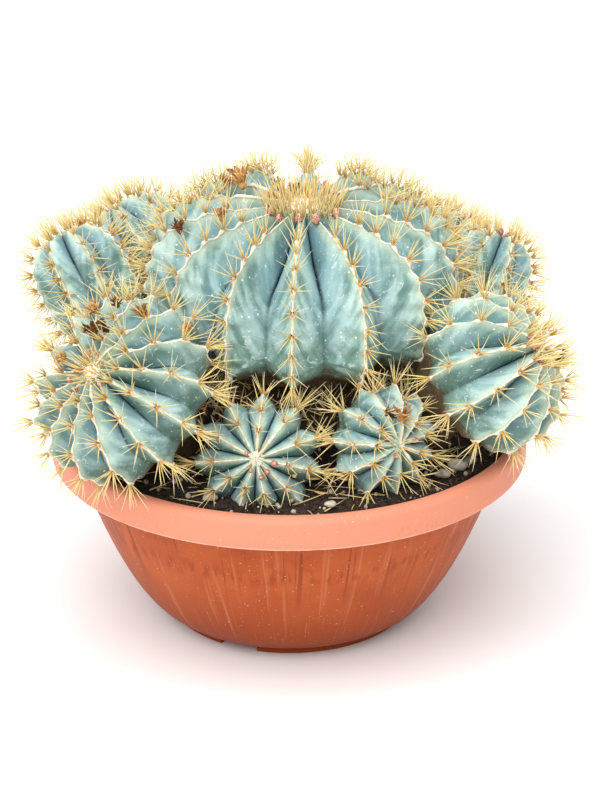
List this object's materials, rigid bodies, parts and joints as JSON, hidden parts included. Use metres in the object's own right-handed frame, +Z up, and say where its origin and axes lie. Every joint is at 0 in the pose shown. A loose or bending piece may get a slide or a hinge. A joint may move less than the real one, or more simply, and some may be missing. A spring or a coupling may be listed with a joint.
{
  "type": "potted round cactus",
  "caption": "Clump of ribbed blue-green barrel cactus heads with straw-coloured spines, growing from dark soil in a wide terracotta-coloured plastic bowl.",
  "frame": {"origin": "on the bowl's axis, in the plane that the bowl stands on", "axes": "+Z up along the bowl's axis; -Y is the plant's front, where the two small front heads grow, and +X is its right seen from the front"},
  "size_m": [0.4899, 0.4378, 0.3951],
  "materials": {
    "pot_plastic": "satin moulded terracotta-coloured plastic with water streaks and fine scratches",
    "potting_soil": "rough dark peat compost with pale grit",
    "cactus_skin": "waxy blue-green skin with a pale bloom, brown and corky at the foot",
    "spines": "smooth straw-coloured horn-like spines on cream wool",
    "pebbles": "pale rough grit",
    "dried_flowers": "brown papery dried petals"
  },
  "bodies": {
    "root": {"pot": "pot_plastic", "soil": "potting_soil", "stem_main": "cactus_skin", "stem_front_left": "cactus_skin", "stem_front_mid": "cactus_skin", "stem_front_right": "cactus_skin", "stem_right": "cactus_skin", "stem_left": "cactus_skin", "stem_back_left": "cactus_skin", "stem_rear_left": "cactus_skin", "stem_rear_right": "cactus_skin", "stem_back_right": "cactus_skin", "stem_right_upper": "cactus_skin", "spines_main": "spines", "spines_front_left": "spines", "spines_front_mid": "spines", "spines_front_right": "spines", "spines_right": "spines", "spines_left": "spines", "spines_back_left": "spines", "spines_rear_left": "spines", "spines_rear_right": "spines", "spines_back_right": "spines", "spines_right_upper": "spines", "pebble_1": "pebbles", "pebble_2": "pebbles", "pebble_3": "pebbles", "pebble_4": "pebbles", "pebble_5": "pebbles", "pebble_6": "pebbles", "dried_flower_main": "dried_flowers", "dried_flower_left": "dried_flowers", "dried_flower_right": "dried_flowers"}
  },
  "joints": []
}
